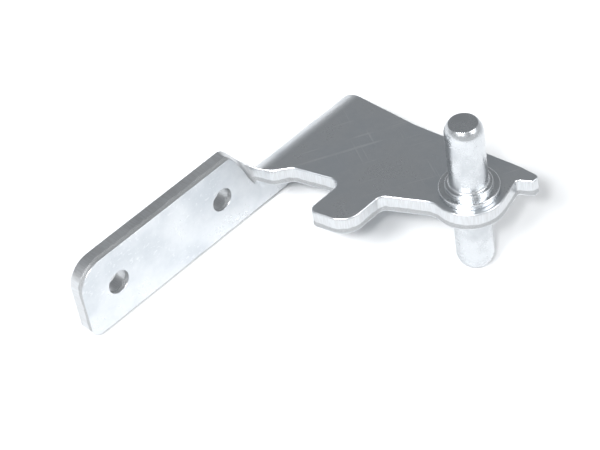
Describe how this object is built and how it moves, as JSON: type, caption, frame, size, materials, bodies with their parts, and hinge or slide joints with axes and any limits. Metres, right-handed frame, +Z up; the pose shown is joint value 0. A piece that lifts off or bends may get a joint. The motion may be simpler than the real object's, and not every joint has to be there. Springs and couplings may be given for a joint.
{
  "type": "middle hinge bracket",
  "caption": "Folded steel middle hinge for upper and lower appliance doors, with a flanged pin standing above and below its plate.",
  "frame": {"origin": "midway between the two screw holes, on the flange's back face", "axes": "+X out of the cabinet towards the pin, +Y along the flange towards the pin's end, +Z up along the pin's upper end"},
  "size_m": [0.0535, 0.0811, 0.0374],
  "materials": {
    "plated_sheet": "bright zinc plate, slightly worn",
    "plated_pin": "bright zinc plate over turned steel"
  },
  "bodies": {
    "root": {"bracket": "plated_sheet", "hinge_pin": "plated_pin"}
  },
  "joints": []
}
